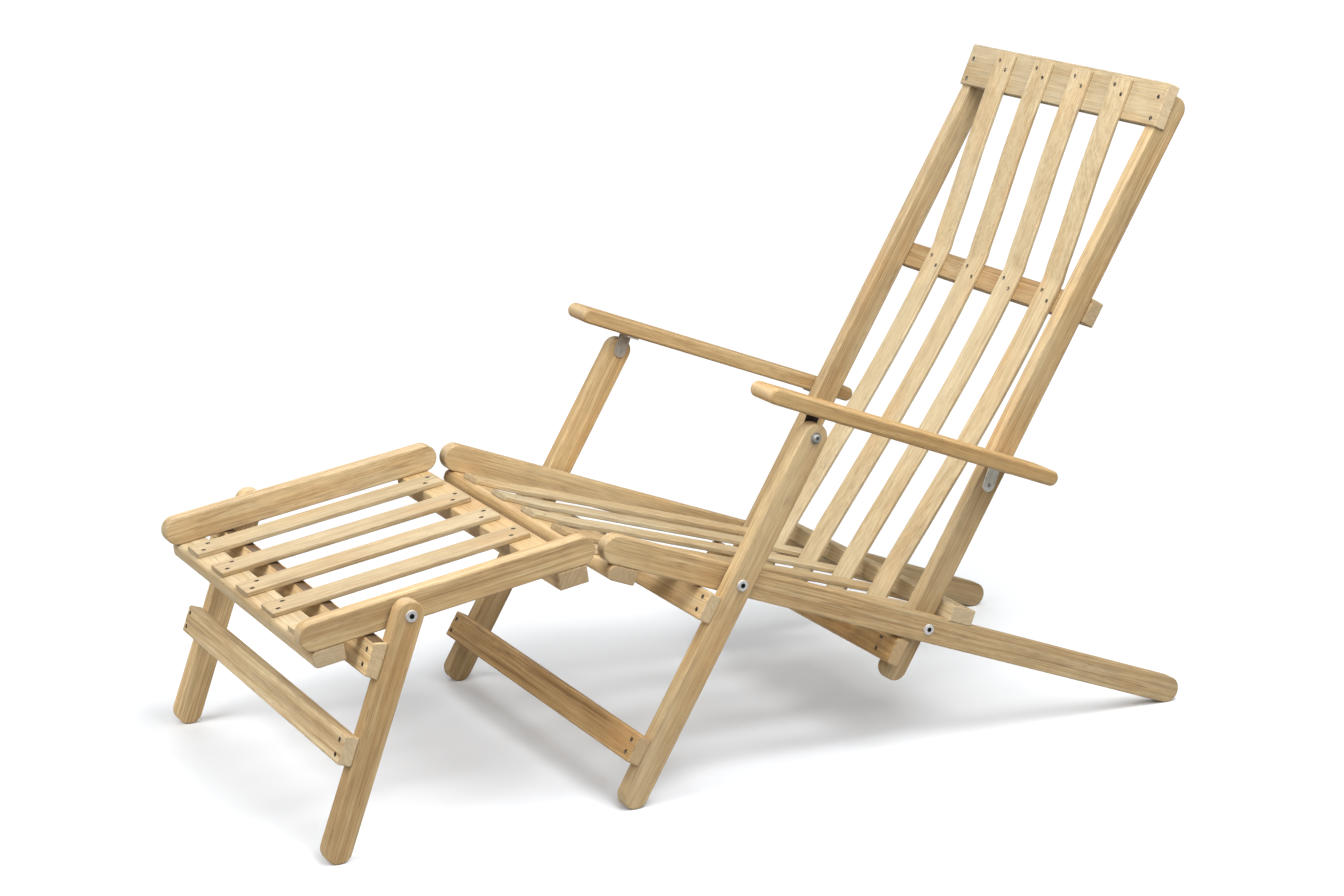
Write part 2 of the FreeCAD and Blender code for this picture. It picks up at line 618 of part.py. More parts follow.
T_HALF, T_THICK = 33.0, 10.5
SLAT_T = 6.0
BACK_MID = (494.7, 533.0, -40.8, -S["leg_r"])
BACK_LOW = (-68.8, -28.8, S["leg_r"], 40.75)
p1, p2 = top_pt(10.0, T_THICK), top_pt(-22.5, T_THICK)
back_bar_screws = screws("back_bar_screws", LONG, [
    (sx * stile_x, p1[0], p1[1], 1, TOP_TILT) for sx in (1, -1)] + [
    (sx * stile_x, p2[0], p2[1], 1, TOP_TILT) for sx in (1, -1)] + [
    (sx * stile_x, u, BACK_MID[2], -1, 0) for sx in (1, -1) for u in (504.5, 523.5)] + [
    (sx * (stile_x - 1.5), u, BACK_LOW[3], 1, 0) for sx in (1, -1) for u in (-40.0, -57.5)])
back_slat_screws = []
for i, x in enumerate(BACK_X):
    a1, a2 = top_pt(14.0, T_THICK + SLAT_T), top_pt(1.5, T_THICK + SLAT_T)
    back_slat_screws.append(screws("back_slat%d_screws" % (i + 1), SHORT, [
        (x - 11.0, a1[0], a1[1], 1, TOP_TILT), (x + 11.0, a2[0], a2[1], 1, TOP_TILT),
        (x - 11.0, 521.0, -S["leg_r"] + SLAT_T, 1, 0), (x + 11.0, 507.5, -S["leg_r"] + SLAT_T, 1, 0),
        (x - 11.0, -42.5, S["leg_r"] - SLAT_T, -1, 0), (x + 11.0, -55.5, S["leg_r"] - SLAT_T, -1, 0)]))
# the notch takes the crossbar's section out of the stile's front edge
NOTCH = [top_pt(-T_HALF, -T_THICK), top_pt(T_HALF + 12, -T_THICK), top_pt(T_HALF + 12, T_THICK + 8),
         top_pt(-T_HALF, T_THICK + 8)]
for tag, side in SIDES:
    b = bar("back_stile_bar_" + tag, side, "stile_in", "stile_wide", S["stile_low"], S["stile_high"], S["leg_r"],
            holes=[(0.0, 0.0, r_run, RUN, S["stile_wide"] - 3.0 + 0.3, "out"),
                   (S["arm_bolt_run"], 0.0, ra_run, RUNA, S["stile_wide"] + 1, "out")],
            cuts=[NOTCH], ekeys=("stile_low", "stile_high", "leg_r"))
    finish("back_stile_" + tag, b, [back_bar_screws[1]], "back")
b = crossbar("back_top_bar", "back_cross_half", -T_HALF, T_HALF, -T_THICK, T_THICK,
             place=Placement(V(0, TOP[0], TOP[1]), Rotation(V(1, 0, 0), TOP_TILT)))
bind(b, [("Placement.Base.y", q("back_top_run")), ("Placement.Base.z", q("back_top_off")),
         ("Placement.Rotation.Angle", q("back_top_tilt"))])
finish("back_top_crossbar", b, [back_bar_screws[1]] + [g[1] for g in back_slat_screws], "back")
b = crossbar("back_middle_bar", "back_cross_half", *BACK_MID)
finish("back_middle_crossbar", b, [back_bar_screws[1]] + [g[1] for g in back_slat_screws], "back")
b = crossbar("back_low_bar", "cross_half", *BACK_LOW, nose=(7.0, lambda u, v: v > 35), vexpr="leg_r")
finish("back_lower_crossbar", b, [back_bar_screws[1]] + [g[1] for g in back_slat_screws], "back")

# back slats lie on the front of the top and middle crossbars and behind the lower one
fl = -S["leg_r"] + SLAT_T
fb = S["leg_r"]
h1, h0 = top_pt(T_HALF - 6.0, T_THICK + SLAT_T / tc), top_pt(-T_HALF, T_THICK + SLAT_T / tc)
tt = (tc, ts)
UPPER = [(h0[0], h0[1]), (733.2, 21.0), (702.2, 16.2), (672.2, 10.6), (642.2, 4.9), (612.2, -0.6), (577.2, -6.2),
         (553.0, -10.6), (535.5, fl)]
UPPER = [(a, v) for a, v in UPPER]
LOWER = [(490.0, fl), (447.2, -13.0), (414.2, -12.2), (379.2, -11.0), (345.2, -9.4), (310.2, -7.1), (275.2, -4.7),
         (233.2, -1.5), (206.2, 1.2), (171.2, 4.5), (136.2, 7.8), (101.2, 11.2), (66.2, 14.4), (31.2, 17.0),
         (-2.0, 18.7), (-26.0, fb)]
BACK_FRONT = [("line", (h1, h0)),
              ("spline", UPPER, (-tt[0], -tt[1]), (-1, 0)),
              ("line", ((535.5, fl), (490.0, fl))),
              ("spline", LOWER, (-1, 0), (-1, 0)),
              ("line", ((-26.0, fb), (-68.0, fb)))]
for i, x in enumerate(BACK_X):
    parts = profile(BACK_FRONT, None, SLAT_T, (h1, (-68.0, fb)))
    b = slat("back_slat%d" % (i + 1), x, parts, SLAT_T, None)
    finish("back_slat_%d" % (i + 1), b, [back_slat_screws[i][1]], "back")
group("back_screws", [back_bar_screws[0]] + [g[0] for g in back_slat_screws], "back")

# ================================================================ armrests
under = S["arm_lift"] - S["arm_r"]      # underside of the armrest above its bolts
hw = S["bracket_half"]
t = S["plate"]
for tag, side in SIDES:
    front_tab = (S["leg_in"] - FACE_GAP - t, S["leg_in"] - FACE_GAP)
    rear_tab = (stile_out + 0.2, stile_out + 0.2 + t)
    scr = screws("arm_screws_" + tag, SHORT, [
        (side * 260.0, -5.0, under - t, -1, 0), (side * 270.0, 5.0, under - t, -1, 0),
        (side * 258.5, run + 5.0, under - t, -1, 0), (side * 268.5, run - 5.0, under - t, -1, 0)], PLATE_SINK)
    b = bar("armrest_bar_" + tag, side, "arm_in", "arm_wide", S["arm_front"], S["arm_back"], S["arm_r"],
            off=S["arm_lift"], rnd="arm_round", ekeys=("arm_front", "arm_back", "arm_r"), lift="arm_lift")
    finish("armrest_" + tag, b, [scr[1]], "arm")
    plates = []
    for nm, u, (xa, xb), (fa, fbx) in (("front", 0.0, front_tab, (253.0, front_tab[1])),
                                       ("rear", run, rear_tab, (rear_tab[0], 274.5))):
        tab = box("%s_tab_%s" % (nm, tag), xa * side, xb * side, u - hw, u + hw, 0.0, under)
        end = rod("%s_tab_end_%s" % (nm, tag), xa * side, xb * side, u, 0.0, hw, q("bracket_half"))
        flange = box("%s_flange_%s" % (nm, tag), fa * side, fbx * side, u - hw, u + hw, under - t, under)
        whole = fuse("%s_bracket_whole_%s" % (nm, tag), [tab, end, flange])
        bore = rod("%s_bracket_bore_%s" % (nm, tag), (xa - 5) * side, (xb + 5) * side, u, 0.0,
                   S["arm_bolt_r"], q("arm_bolt_r"))
        tools = compound("%s_bracket_tools_%s" % (nm, tag), [bore, scr[1]])
        plates.append(cut("%s_bracket_%s" % (nm, tag), whole, tools))
    group("arm_brackets_" + tag, plates, "arm")
    group("arm_bracket_screws_" + tag, [scr[0]], "arm")
    wd = S["washer_deep"]
    w_out = leg_out + FACE_GAP
    w_in = S["stile_in"] - FACE_GAP
    front_bolt = socket_bolt("front_arm_bolt_" + tag, side, w_out + wd, front_tab[0] - 0.6, 0.0, 0.0,
                             S["arm_bolt_r"], q("arm_bolt_r"), S["arm_bolt_head_r"], S["arm_bolt_head"],
                             S["arm_bolt_socket"], q("arm_bolt_head_r"), None, q("arm_bolt_socket"))
    rear_bolt = socket_bolt("rear_arm_bolt_" + tag, side, w_in - wd, rear_tab[1] + 0.6, run, 0.0,
                            S["arm_bolt_r"], q("arm_bolt_r"), S["arm_bolt_head_r"], S["arm_bolt_head"],
                            S["arm_bolt_socket"], q("arm_bolt_head_r"), None, q("arm_bolt_socket"), way=-1)
    group("arm_bolts_" + tag, [front_bolt, rear_bolt], "arm")
    washers = []
    for nm, u, xa, xb in (("front", 0.0, w_out, w_out + wd), ("rear", run, w_in - wd, w_in)):
        disc = rod("%s_washer_disc_%s" % (nm, tag), xa * side, xb * side, u, 0.0, S["washer_r"], q("washer_r"))
        bore = rod("%s_washer_bore_%s" % (nm, tag), (xa - 5) * side, (xb + 5) * side, u, 0.0,
                   S["arm_bolt_r"], q("arm_bolt_r"))
        washers.append(cut("%s_washer_%s" % (nm, tag), disc, bore))
    group("arm_bolt_washers_" + tag, washers, "arm")

# ================================================================ footrest
FOOT_FRONT = (-130.2, -85.0, -43.5, -S["rail_r"])
FOOT_REAR = (223.2, 267.1, -45.0, -S["rail_r"])
LEAF_BED = -42.0      # the footrest leaves of the hinges are let into the rear crossbar
foot_bar_screws = screws("foot_bar_screws", LONG, [
    (sx * rail_x, u, FOOT_FRONT[2], -1, 0) for sx in (1, -1) for u in (-117.5, -97.5)] + [
    (sx * rail_x, u, FOOT_REAR[2], -1, 0) for sx in (1, -1) for u in (235.5, 255.0)])
foot_slat_screws = [screws("foot_slat%d_screws" % (i + 1), SHORT, [
    (x + 10.5, -111.5, -13.0, 1, 0), (x - 10.5, -97.4, -13.0, 1, 0),
    (x + 10.5, 233.3, -13.0, 1, 0), (x - 10.5, 246.4, -13.0, 1, 0)]) for i, x in enumerate(SLAT_X)]
for tag, side in SIDES:
    b = bar("footrest_rail_bar_" + tag, side, "rail_in", "rail_wide", S["foot_rail_front"], S["foot_rail_back"],
            S["rail_r"], holes=[(0.0, 0.0, S["pivot_r"], q("pivot_r"), 18.0, "out")],
            ekeys=("foot_rail_front", "foot_rail_back", "rail_r"))
    finish("footrest_rail_" + tag, b, [foot_bar_screws[1]], "foot")
b = crossbar("footrest_front_bar", "cross_half", *FOOT_FRONT, nose=(8.0, lambda u, v: u < -120))
finish("footrest_front_crossbar", b, [foot_bar_screws[1]] + [g[1] for g in foot_slat_screws], "foot")
hinge_u_foot, hinge_v_foot = to_local("foot", S["hinge_y"], S["hinge_z"])
hinge_u_seat, hinge_v_seat = to_local("seat", S["hinge_y"], S["hinge_z"])
b = crossbar("footrest_rear_bar", "cross_half", *FOOT_REAR)
foot_rear_bar = b
FOOT_TOP = (-124.0, 257.0, -S["rail_r"], -13.0)
for i, x in enumerate(SLAT_X):
    u0, u1, v0, v1 = FOOT_TOP
    parts = [("line", Part.LineSegment(V(a[0], a[1], 0), V(d[0], d[1], 0))) for a, d in (
        ((u0, v0), (u1, v0)), ((u1, v0), (u1, v1)), ((u1, v1), (u0, v1)), ((u0, v1), (u0, v0)))]
    b = slat("footrest_slat%d" % (i + 1), x, parts, 7.0, None)
    finish("footrest_slat_%d" % (i + 1), b, [foot_slat_screws[i][1]], "foot")

# footrest legs
FLEG_UP = (-88.7, -44.3, S["leg_r"], 39.2)
FLEG_LOW = (-209.4, -170.2, S["leg_r"], 39.2)
fleg_screws = screws("foot_leg_bar_screws", LONG, [
    (x, u, 39.2, 1, 0) for x in LEG_SCREW_X for u in (-56.8, -77.0, -179.5, -200.0)])
for tag, side in SIDES:
    b = bar("footrest_leg_bar_" + tag, side, "leg_in", "leg_wide", S["foot_leg_low"], 0.0, S["leg_r"],
            holes=[(0.0, 0.0, r_run, RUN, S["leg_wide"] + 1, "out")], ekeys=("foot_leg_low", None, "leg_r"))
    finish("footrest_leg_" + tag, b, [fleg_screws[1]], "footleg")
b = crossbar("footrest_leg_up", "leg_cross_half", *FLEG_UP, flare=(3.0, 4.4))
finish("footrest_leg_upper_crossbar", b, [fleg_screws[1]], "footleg")
b = crossbar("footrest_leg_low_bar", "leg_cross_half", *FLEG_LOW, vexpr="leg_r")
finish("footrest_leg_lower_crossbar", b, [fleg_screws[1]], "footleg")
group("footrest_leg_screws", [fleg_screws[0]], "footleg")

foot_bolts, foot_spacers = [], []
for tag, side in SIDES:
    foot_bolts.append(socket_bolt("foot_bolt_" + tag, side, leg_out + FACE_GAP, rail_out - 18.0, 0.0, 0.0,
                                  S["pivot_r"], q("pivot_r"), S["pivot_head_r"], S["pivot_head"], S["pivot_socket"],
                                  q("pivot_head_r"), None, q("pivot_socket")))
    ring = rod("foot_spacer_disc_" + tag, rail_out * side, (S["leg_in"] - FACE_GAP) * side, 0.0, 0.0,
               S["spacer_r"], q("spacer_r"))
    bore = rod("foot_spacer_bore_" + tag, (rail_out - 5) * side, (S["leg_in"] + 5) * side, 0.0, 0.0,
               S["pivot_r"], q("pivot_r"))
    foot_spacers.append(cut("foot_spacer_" + tag, ring, bore))
group("footrest_pivot_bolts", foot_bolts, "foot")
group("footrest_pivot_spacers", foot_spacers, "foot")

# ================================================================ footrest hinges
# Two butt hinges lie under the footrest's rear and the seat's front crossbar. The seat
# leaf carries the outer knuckles and the pin, the footrest leaf the middle knuckle.
HINGE_X = (-150.0, 150.0)
H_HALF, H_MID, H_GAP = 30.0, 11.0, 0.3
seat_leaves, foot_leaves, pins, beds = [], [], [], []
hs_screws, hf_screws = [], []
for i, hx in enumerate(HINGE_X):
    # seat leaf, in the seat frame
    hu, hv = hinge_u_seat, hinge_v_seat
    top = SEAT_FRONT[2]
    plate = box("seat_leaf_plate%d" % i, hx - H_HALF, hx + H_HALF, hu + S["knuckle_r"] + 0.6, hu + 50.0, top - t, top)
    lugs = []
    for k, (a, d) in enumerate(((-H_HALF, -H_MID - H_GAP), (H_MID + H_GAP, H_HALF))):
        lugs.append(box("seat_leaf_lug%d_%d" % (i, k), hx + a, hx + d, hu, hu + S["knuckle_r"] + 0.7, top - t, top))
        lugs.append(rod("seat_knuckle%d_%d" % (i, k), hx + a, hx + d, hu, hv, S["knuckle_r"], q("knuckle_r")))
    whole = fuse("seat_leaf_whole%d" % i, [plate] + lugs)
    bore = rod("seat_leaf_bore%d" % i, hx - 40, hx + 40, hu, hv, S["pin_r"], q("pin_r"))
    sc = screws("seat_leaf_screws%d" % i, SHORT, [(hx + d, hu + e, top - t, -1, 0)
                                                 for d, e in ((-22, 22.0), (0, 38.0), (22, 22.0))], PLATE_SINK)
    hs_screws.append(sc)
    seat_leaves.append(cut("seat_leaf%d" % i, whole, compound("seat_leaf_tools%d" % i, [bore, sc[1]])))
    pins.append(rod("hinge_pin%d" % i, hx - H_HALF - 1, hx + H_HALF + 1, hu, hv, S["pin_r"], q("pin_r")))
    # footrest leaf, in the footrest frame
    hu, hv = hinge_u_foot, hinge_v_foot
    top = LEAF_BED
    beds.append(box("foot_leaf_bed%d" % i, hx - H_HALF - 0.4, hx + H_HALF + 0.4, hu - 50.4, FOOT_REAR[1] + 3.0,
                    FOOT_REAR[2] - 3.0, top))
    plate = box("foot_leaf_plate%d" % i, hx - H_HALF, hx + H_HALF, hu - 50.0, hu - S["knuckle_r"] - 0.6, top - t, top)
    lug = box("foot_leaf_lug%d" % i, hx - H_MID, hx + H_MID, hu - S["knuckle_r"] - 0.7, hu, top - t, top)
    kn = rod("foot_knuckle%d" % i, hx - H_MID, hx + H_MID, hu, hv, S["knuckle_r"], q("knuckle_r"))
    whole = fuse("foot_leaf_whole%d" % i, [plate, lug, kn])
    bore = rod("foot_leaf_bore%d" % i, hx - 40, hx + 40, hu, hv, S["pin_r"] + S["turning_gap"],
               q("pin_r") + " + " + q("turning_gap"))
    sc = screws("foot_leaf_screws%d" % i, SHORT, [(hx + d, hu - e, top - t, -1, 0)
                                                 for d, e in ((-22, 22.0), (0, 38.0), (22, 22.0))], PLATE_SINK)
    hf_screws.append(sc)
    foot_leaves.append(cut("foot_leaf%d" % i, whole, compound("foot_leaf_tools%d" % i, [bore, sc[1]])))
group("hinge_leaves_seat", seat_leaves, "seat")
group("hinge_pins", pins, "seat")
group("hinge_leaves_footrest", foot_leaves, "foot")
finish("footrest_rear_crossbar", foot_rear_bar,
       [foot_bar_screws[1]] + beds + [g[1] for g in foot_slat_screws] + [g[1] for g in hf_screws], "foot")
group("footrest_screws", [foot_bar_screws[0]] + [g[0] for g in foot_slat_screws] + [g[0] for g in hf_screws], "foot")
# the seat's front crossbar and screw group also take the hinge screws
for o in NODES:
    if o.Label == "seat_front_crossbar":
        o.Tool.Links = o.Tool.Links + [g[1] for g in hs_screws]
    if o.Label == "seat_screws":
        o.Links = o.Links + [g[0] for g in hs_screws]

# ---------------------------------------------------------------- check and write
doc.recompute()
bad = 0
for o in doc.Objects:
    if "Invalid" in o.State or "Error" in o.State:
        print("STATE", o.Name, o.State)
        bad += 1
for o in NODES:
    sh = o.Shape
    if sh.isNull() or not sh.isValid() or not sh.Solids:
        print("BAD SHAPE", o.Label)
        bad += 1
if bad:
    raise RuntimeError("%d objects are not sound" % bad)
os.makedirs("parts", exist_ok=True)
for o in NODES:
    o.Shape.exportStep("parts/%s.step" % o.Label)
boxes = [o.Shape.optimalBoundingBox(False) for o in NODES]
lo = [min(getattr(b, k) for b in boxes) for k in ("XMin", "YMin", "ZMin")]
hi = [max(getattr(b, k) for b in boxes) for k in ("XMax", "YMax", "ZMax")]
print("nodes", len(NODES), "box", [round(v, 3) for v in lo], [round(v, 3) for v in hi])
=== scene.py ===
"""Looks of the folding steamer deck chair: straight-grained pale hardwood, steel bolts, brackets and screws."""
import bpy
import math
import random
from mathutils import Matrix, Vector

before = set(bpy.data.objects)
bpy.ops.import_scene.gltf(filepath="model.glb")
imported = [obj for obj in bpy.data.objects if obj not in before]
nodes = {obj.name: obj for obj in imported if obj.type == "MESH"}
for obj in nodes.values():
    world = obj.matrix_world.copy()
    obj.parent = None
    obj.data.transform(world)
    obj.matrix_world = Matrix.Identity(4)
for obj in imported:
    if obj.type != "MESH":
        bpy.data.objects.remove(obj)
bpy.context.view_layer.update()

# ------------------------------------------------------------------ node helpers


def new_mat(name):
    m = bpy.data.materials.new(name)
    m.use_nodes = True
    nt = m.node_tree
    nt.nodes.clear()
    out = nt.nodes.new("ShaderNodeOutputMaterial")
    bsdf = nt.nodes.new("ShaderNodeBsdfPrincipled")
    nt.links.new(bsdf.outputs[0], out.inputs[0])
    return m, nt, bsdf


class N:
    """Small helper that adds and links nodes."""

    def __init__(self, nt):
        self.nt = nt

    def link(self, a, b):
        self.nt.links.new(a, b)

    def put(self, sock, v):
        if isinstance(v, bpy.types.NodeSocket):
            self.link(v, sock)
        else:
            sock.default_value = v

    def math(self, op, a, b=None, c=None, clamp=False):
        n = self.nt.nodes.new("ShaderNodeMath")
        n.operation = op
        n.use_clamp = clamp
        self.put(n.inputs[0], a)
        if b is not None:
            self.put(n.inputs[1], b)
        if c is not None:
            self.put(n.inputs[2], c)
        return n.outputs[0]

    def vmath(self, op, a, b=None, scale=None):
        n = self.nt.nodes.new("ShaderNodeVectorMath")
        n.operation = op
        self.put(n.inputs[0], a)
        if b is not None:
            self.put(n.inputs[1], b)
        if scale is not None:
            self.put(n.inputs[3], scale)
        return n.outputs[1] if op in ("LENGTH", "DOT_PRODUCT", "DISTANCE") else n.outputs[0]

    def noise(self, vec, scale=1.0, detail=2.0, rough=0.5, dims="3D", w=None, color=False, distortion=0.0):
        n = self.nt.nodes.new("ShaderNodeTexNoise")
        n.noise_dimensions = dims
        if vec is not None:
            self.put(n.inputs["Vector"], vec)
        if w is not None:
            self.put(n.inputs["W"], w)
        n.inputs["Scale"].default_value = scale
        n.inputs["Detail"].default_value = detail
        n.inputs["Roughness"].default_value = rough
        n.inputs["Distortion"].default_value = distortion
        return n.outputs["Color"] if color else n.outputs[0]

    def ramp(self, fac, lo, hi, a=0.0, b=1.0, smooth=True):
        n = self.nt.nodes.new("ShaderNodeMapRange")
        n.interpolation_type = "SMOOTHSTEP" if smooth else "LINEAR"
        n.clamp = True
        self.put(n.inputs[0], fac)
        n.inputs[1].default_value = lo
        n.inputs[2].default_value = hi
        n.inputs[3].default_value = a
        n.inputs[4].default_value = b
        return n.outputs[0]

    def mix(self, fac, a, b, mode="MIX"):
        n = self.nt.nodes.new("ShaderNodeMix")
        n.data_type = "RGBA"
        n.blend_type = mode
        n.clamp_factor = True
        self.put(n.inputs[0], fac)
        for sock, v in ((n.inputs[6], a), (n.inputs[7], b)):
            if isinstance(v, (tuple, list)) and len(v) == 3:
                v = (*v, 1.0)
            self.put(sock, v)
        return n.outputs[2]

    def mapping(self, vec, rot=(0, 0, 0), loc=(0, 0, 0), scale=(1, 1, 1), kind="POINT"):
        n = self.nt.nodes.new("ShaderNodeMapping")
        n.vector_type = kind
        self.put(n.inputs[0], vec)
        if kind != "NORMAL":
            n.inputs["Location"].default_value = loc
        n.inputs["Rotation"].default_value = rot
        n.inputs["Scale"].default_value = scale
        return n.outputs[0]

    def split(self, vec):
        n = self.nt.nodes.new("ShaderNodeSeparateXYZ")
        self.put(n.inputs[0], vec)
        return n.outputs

    def combine(self, x, y, z):
        n = self.nt.nodes.new("ShaderNodeCombineXYZ")
        for s, v in zip(n.inputs, (x, y, z)):
            self.put(s, v)
        return n.outputs[0]


# ------------------------------------------------------------------ wood
PALE = (0.680, 0.548, 0.338)
LIGHT = (0.620, 0.462, 0.254)
MID = (0.520, 0.358, 0.180)
DARK = (0.300, 0.175, 0.080)
PORE = (0.150, 0.088, 0.045)
END = (0.570, 0.452, 0.285)
END_DARK = (0.455, 0.350, 0.212)
GRIME = (0.185, 0.115, 0.062)


LEVEL = 0.84


def shade(c, tone, warm):
    r, g, b = (v * tone * LEVEL for v in c)
    return (min(r * (1 + 0.05 * warm), 0.95), min(g * (1 - 0.03 * warm), 0.92), max(b * (1 - 0.14 * warm), 0.01))


def wood(name, kind, slope, across, seed, tone=1.0, warm=0.0, figure=1.0, end_tone=1.0, lines=0.3, end_mix=0.86, knots=()):
    """Solid wood with its grain along the piece, so faces show streaks and ends show rings.

    kind: slot (half-round ends), box (square crossbar) or bent (curved slat), for the worn edges;
    slope: direction of the piece in the side view in degrees; across: grain runs across the chair;
    knots: (place in metres, radius in metres).
    """
    rnd = random.Random(seed)
    m, nt, bsdf = new_mat(name)
    n = N(nt)
    tc = nt.nodes.new("ShaderNodeTexCoord")
    rot = (-math.radians(slope), 0.0, math.radians(90) if across else 0.0)
    node = nodes[name.replace("wood_", "", 1)]
    R = Matrix.Rotation(rot[2], 3, "Z") @ Matrix.Rotation(rot[0], 3, "X")
    turned = [R @ v.co for v in node.data.vertices]
    lo = Vector([min(c[i] for c in turned) for i in range(3)])
    hi = Vector([max(c[i] for c in turned) for i in range(3)])
    mid, half = (lo + hi) / 2, (hi - lo) / 2
    # Q: grain frame with the middle of the piece at its origin; P: moved beside the pith line
    Q = n.mapping(tc.outputs["Object"], rot=rot, loc=tuple(-mid))
    ang = rnd.uniform(0, 2 * math.pi)
    dist = rnd.uniform(0.05, 0.14)
    shift = Vector((dist * math.cos(ang), rnd.uniform(-40, 40), dist * math.sin(ang)))
    P = n.vmath("ADD", Q, tuple(shift))

    # slow wander of the grain along the piece
    wob = n.noise(n.vmath("MULTIPLY", P, (6.0, 1.5, 6.0)), 1.0, 2.0, 0.5, color=True)
    wob = n.vmath("SUBTRACT", wob, (0.5, 0.5, 0.5))
    P2 = n.vmath("ADD", P, n.vmath("MULTIPLY", wob, (0.020, 0.0, 0.020)))
    fine = n.noise(n.vmath("MULTIPLY", P, (90.0, 9.0, 90.0)), 1.0, 1.0, 0.5, color=True)
    fine = n.vmath("SUBTRACT", fine, (0.5, 0.5, 0.5))
    P2 = n.vmath("ADD", P2, n.vmath("MULTIPLY", fine, (0.0022, 0.0, 0.0022)))
    r = n.vmath("LENGTH", n.vmath("MULTIPLY", P2, (1.0, 0.0, 1.0)))

    knot_mask = None
    for (kp, kr) in knots:
        k = R @ Vector(kp) - mid
        d = n.vmath("LENGTH", n.vmath("MULTIPLY", n.vmath("SUBTRACT", Q, tuple(k)), (1.0, 0.6, 1.0)))
        r = n.math("ADD", r, n.ramp(d, 0.0, kr * 4.5, 0.006, 0.0))
        mask = n.ramp(d, kr * 0.45, kr * 1.15, 1.0, 0.0)
        knot_mask = mask if knot_mask is None else n.math("MAXIMUM", knot_mask, mask)

    # growth rings: irregular widths, slow darkening and a sharp late edge, strong only in places
    gap = rnd.uniform(0.0030, 0.0048)
    drift = n.noise(None, 1.0, 2.0, 0.5, dims="1D", w=n.math("MULTIPLY", r, 70.0))
    ph = n.math("ADD", n.math("DIVIDE", r, gap), n.math("MULTIPLY", drift, 4.0))
    saw = n.math("FRACT", ph)
    late = n.math("MULTIPLY", n.ramp(saw, 0.45, 0.95), n.ramp(saw, 0.95, 1.0, 1.0, 0.0))
    bands = n.noise(None, 1.0, 3.0, 0.65, dims="1D", w=n.math("MULTIPLY", r, 210.0))
    place = n.ramp(n.noise(n.vmath("MULTIPLY", P, (30.0, 2.2, 30.0)), 1.0, 2.0, 0.5), 0.38, 0.66)

    # soft cloudy tone, long streaks, fibres and pores
    cloud = n.noise(n.vmath("MULTIPLY", P, (22.0, 3.4, 22.0)), 1.0, 3.0, 0.55)
    streak = n.noise(n.vmath("MULTIPLY", P2, (230.0, 3.0, 230.0)), 1.0, 3.0, 0.65)
    hair = n.noise(n.vmath("MULTIPLY", P2, (470.0, 6.5, 470.0)), 1.0, 2.0, 0.55)
    fibre = n.noise(n.vmath("MULTIPLY", P2, (760.0, 14.0, 760.0)), 1.0, 3.0, 0.62)
    shimmer = n.noise(n.vmath("MULTIPLY", P, (60.0, 34.0, 60.0)), 1.0, 2.0, 0.5)
    pores = n.noise(n.vmath("MULTIPLY", P2, (900.0, 44.0, 900.0)), 1.0, 1.0, 0.5)
    dashes = n.noise(n.vmath("MULTIPLY", P2, (520.0, 17.0, 520.0)), 1.0, 1.0, 0.5)
    pore_zone = n.ramp(n.noise(n.vmath("MULTIPLY", P, (46.0, 4.0, 46.0)), 1.0, 1.0, 0.5), 0.35, 0.65, 0.15, 1.0)
    pore_mask = n.math("MAXIMUM", n.ramp(pores, 0.61, 0.72), n.math("MULTIPLY", n.ramp(dashes, 0.64, 0.74), 0.75))
    pore_mask = n.math("MULTIPLY", pore_mask, pore_zone)
    # single dark lines
    crest = n.noise(n.vmath("MULTIPLY", P2, (64.0, 0.9, 64.0)), 1.0, 1.0, 0.5)
    thin = n.math("SUBTRACT", 1.0, n.ramp(n.math("ABSOLUTE", n.math("SUBTRACT", crest, 0.5)), 0.0, 0.016, 0.0, 1.0))
    where = n.ramp(n.noise(n.vmath("MULTIPLY", P, (26.0, 3.0, 26.0)), 1.0, 1.0, 0.5), 0.46, 0.62)
    thin = n.math("MULTIPLY", thin, where)
    heart = n.ramp(n.noise(n.vmath("MULTIPLY", P2, (38.0, 1.3, 38.0)), 1.0, 2.0, 0.5), 0.56, 0.72)

    pale, light, midc, dark = (shade(c, tone, warm) for c in (PALE, LIGHT, MID, DARK))
    f = n.math("ADD", n.math("MULTIPLY", streak, 1.05), n.math("MULTIPLY", cloud, 0.75))
    f = n.math("ADD", f, n.math("MULTIPLY", bands, 0.5 * figure))
    col = n.mix(n.ramp(f, 0.72 + 0.25 * figure * 0.5, 1.22 + 0.25 * figure * 0.5), pale, light)
    col = n.mix(n.ramp(f, 0.95 + 0.25 * figure * 0.5, 1.42 + 0.25 * figure * 0.5), col, midc)
    rings = n.math("MULTIPLY", late, n.math("MULTIPLY_ADD", place, 0.34 * figure, 0.02 * figure))
    col = n.mix(rings, col, dark)
    veins = n.noise(None, 1.0, 2.0, 0.6, dims="1D", w=n.math("MULTIPLY", r, 360.0))
    veins = n.math("MULTIPLY", n.ramp(veins, 0.56, 0.68), n.ramp(place, 0.0, 1.0, 0.35, 1.0))
    col = n.mix(n.math("MULTIPLY", veins, min(0.11 + 0.16 * max(figure - 0.6, 0.0) + 0.20 * max(figure - 1.2, 0.0), 0.6)), col, dark)
    col = n.mix(n.math("MULTIPLY", heart, 0.30 * figure), col, dark)
    col = n.mix(n.math("MULTIPLY", thin, lines), col, dark)
    fb = n.ramp(n.math("MULTIPLY_ADD", shimmer, 0.30, n.math("MULTIPLY", fibre, 0.70)), 0.30, 0.70, 0.84, 1.10)
    col = n.mix(1.0, col, n.combine(fb, fb, fb), "MULTIPLY")
    hb = n.ramp(hair, 0.34, 0.60, 0.80, 1.05)
